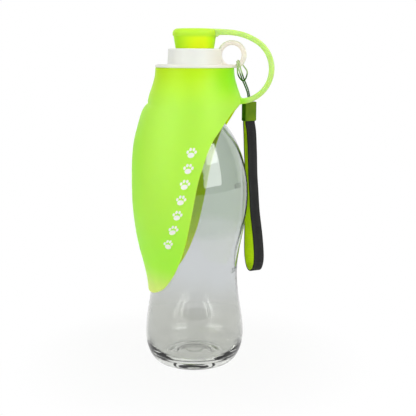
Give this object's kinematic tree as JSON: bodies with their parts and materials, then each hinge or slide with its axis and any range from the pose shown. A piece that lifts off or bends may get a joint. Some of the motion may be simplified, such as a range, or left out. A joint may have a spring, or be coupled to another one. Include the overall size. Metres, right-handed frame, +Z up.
{
  "type": "pet travel water bottle",
  "caption": "Clear pet travel bottle with screw cap, tethered stopper, silicone leaf that turns out into a bowl, and a wrist strap.",
  "frame": {"origin": "on the bottle's axis at the plane it stands on", "axes": "+Z up along the bottle; -X toward the middle of the hanging leaf; +X toward the tether, the cap's ring and the lanyard"},
  "size_m": [0.1038, 0.0848, 0.246],
  "materials": {
    "bottle_clear": "clear polished plastic, faint grey-green tint",
    "cap_cream": "satin cream moulding",
    "seal_grey": "soft matt",
    "silicone_green": "translucent satin silicone",
    "silicone_strap": "translucent satin silicone",
    "silicone_stopper": "satin silicone",
    "cord_green": "braided cord",
    "sleeve_olive": "satin olive green",
    "webbing_black": "woven tape",
    "webbing_green": "woven tape"
  },
  "bodies": {
    "bottle": {"bottle": "bottle_clear"},
    "seal": {"cap_seal": "seal_grey"},
    "cap": {"cap": "cap_cream", "bowl_collar": "silicone_green", "tether_loop": "silicone_strap"},
    "leaf": {"bowl_leaf": "silicone_green"},
    "plug": {"tether_arm": "silicone_strap", "stopper": "silicone_stopper"},
    "lanyard": {"lanyard_cord": "cord_green", "cord_sleeve": "sleeve_olive", "webbing_outer": "webbing_black", "webbing_inner": "webbing_green"}
  },
  "joints": [
    {"name": "cap_lift", "type": "slide", "parent": "bottle", "child": "seal", "axis": [0, 0, 1], "range_m": [0, 0.006]},
    {"name": "cap_turn", "type": "hinge", "parent": "seal", "child": "cap", "pos_m": [0, 0, 0.2177], "axis": [0, 0, 1], "range_deg": [0, 540]},
    {"name": "leaf_fold", "type": "hinge", "parent": "cap", "child": "leaf", "pos_m": [-0.0364, 0, 0.1932], "axis": [0, 1, 0], "range_deg": [0, 110]},
    {"name": "plug_swing", "type": "hinge", "parent": "cap", "child": "plug", "pos_m": [0.05351, 0, 0.22875], "axis": [0, 1, 0], "range_deg": [0, 115]},
    {"name": "lanyard_swing", "type": "hinge", "parent": "cap", "child": "lanyard", "pos_m": [0.03094, 0, 0.22306], "axis": [0, -1, 0], "range_deg": [0, 75]}
  ],
  "couplings": [
    {"joint": "cap_lift", "follows": "cap_turn", "m_per_rad": 0.0006366}
  ]
}
